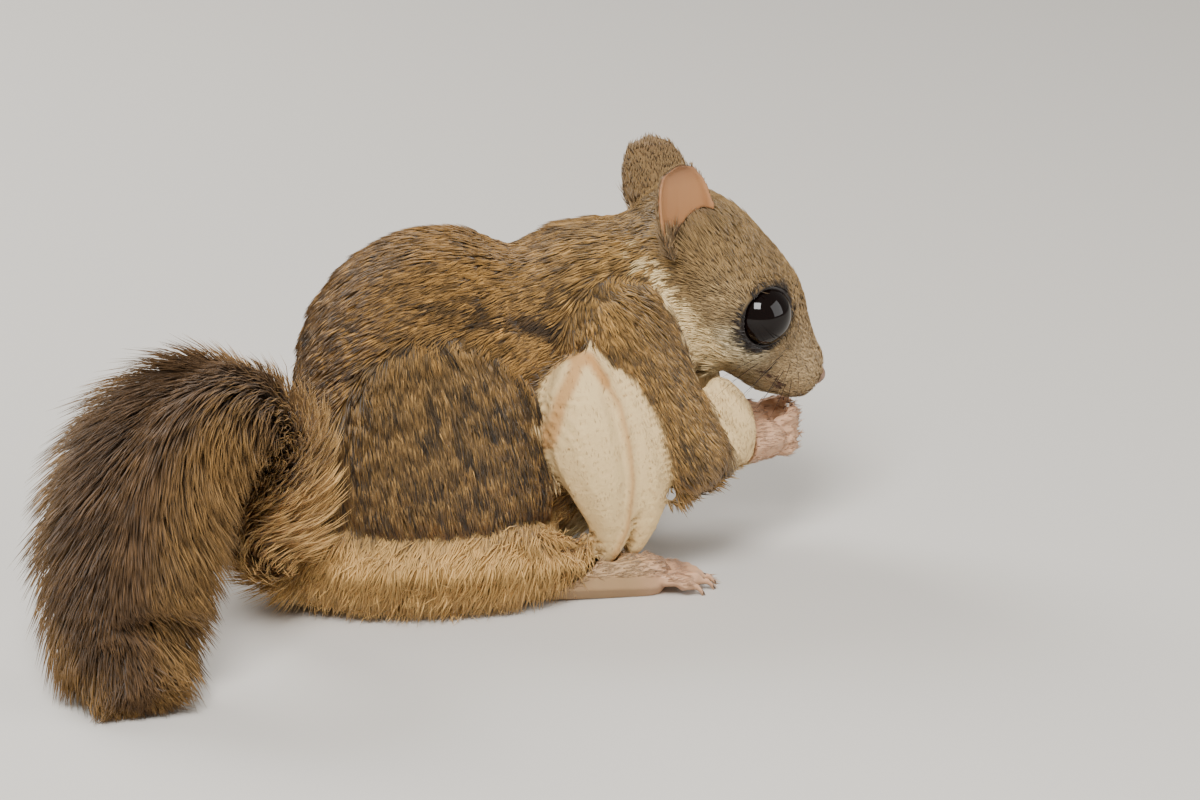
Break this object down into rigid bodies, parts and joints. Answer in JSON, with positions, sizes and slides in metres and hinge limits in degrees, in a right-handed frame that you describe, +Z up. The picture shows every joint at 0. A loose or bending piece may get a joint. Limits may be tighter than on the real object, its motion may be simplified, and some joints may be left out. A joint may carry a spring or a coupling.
{
  "type": "flying squirrel",
  "caption": "Life-size still model of a small nocturnal gliding squirrel, crouched on its haunches with both hands held to its mouth and its flat tail arched behind it.",
  "frame": {"origin": "bottom centre of the bounding box, on the floor that the animal crouches on", "axes": "+X the way that the animal faces, which is also its longest side; +Y its left; +Z up"},
  "size_m": [0.1474, 0.0834, 0.0742],
  "materials": {
    "brown_fur": "short soft coat",
    "flank_fur": "short soft coat",
    "cream_fur": "short soft coat",
    "tail_fur": "long soft coat",
    "skin": "bare skin, satin",
    "eye": "wet gloss"
  },
  "bodies": {
    "root": {"head": "brown_fur", "neck": "brown_fur", "chest": "brown_fur", "belly": "brown_fur", "rump": "brown_fur", "eye_right": "eye", "eye_left": "eye", "ear_right": "skin", "ear_left": "skin", "foreleg_right": "brown_fur", "foreleg_left": "brown_fur", "hand_right": "skin", "hand_left": "skin", "thigh_right": "flank_fur", "thigh_left": "flank_fur", "foot_right": "skin", "foot_left": "skin", "membrane_right": "cream_fur", "membrane_left": "cream_fur", "tail_1": "tail_fur", "tail_2": "tail_fur", "tail_3": "tail_fur", "tail_4": "tail_fur", "tail_5": "tail_fur"}
  },
  "joints": []
}
